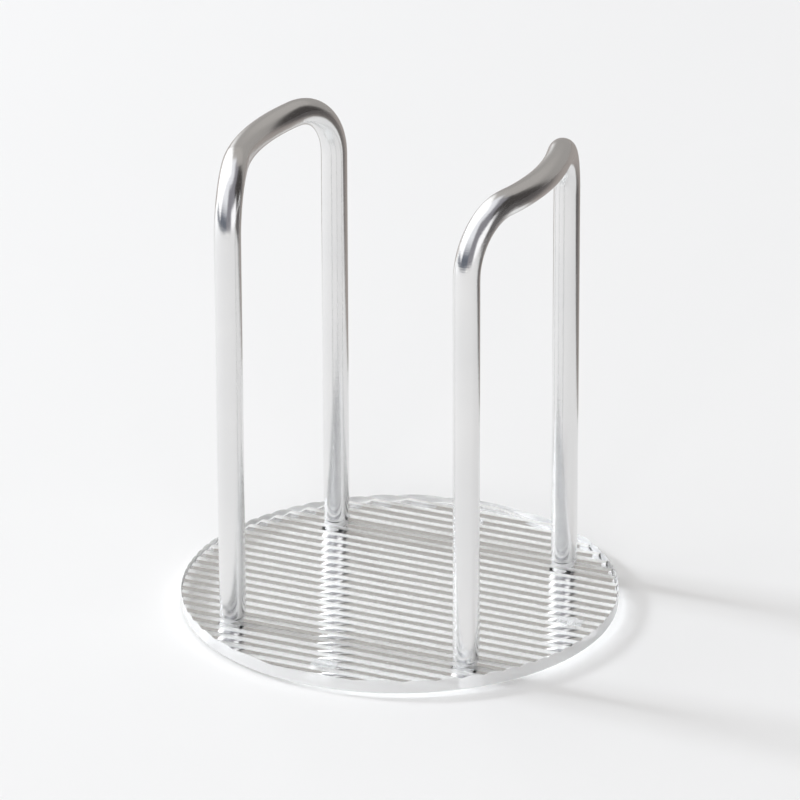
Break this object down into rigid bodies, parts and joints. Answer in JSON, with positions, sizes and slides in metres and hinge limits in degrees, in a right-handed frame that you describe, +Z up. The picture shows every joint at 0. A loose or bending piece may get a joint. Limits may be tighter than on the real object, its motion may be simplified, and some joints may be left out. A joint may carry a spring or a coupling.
{
  "type": "plastic bag holder",
  "caption": "Tabletop plastic bag holder: upright bent-tube hoops on a clear, fluted, round base plate hold a bag open between them.",
  "frame": {"origin": "on the resting plane, under the middle of the base plate", "axes": "+Z up, +X from the left hoop to the right hoop along the flutes, +Y to the back"},
  "size_m": [0.2, 0.2, 0.224],
  "materials": {
    "clear_acrylic": "clear, moulded gloss",
    "polished_tube": "mirror polished stainless steel",
    "plug_steel": "turned steel",
    "screw_steel": "bright stainless steel",
    "clear_silicone": "translucent, soft satin"
  },
  "bodies": {
    "root": {"base_plate": "clear_acrylic", "hoop_left": "polished_tube", "hoop_right": "polished_tube", "leg_plug_left_front": "plug_steel", "leg_plug_left_back": "plug_steel", "leg_plug_right_front": "plug_steel", "leg_plug_right_back": "plug_steel", "leg_screws": "screw_steel", "foot_front": "clear_silicone", "foot_right": "clear_silicone", "foot_back": "clear_silicone", "foot_left": "clear_silicone"}
  },
  "joints": []
}
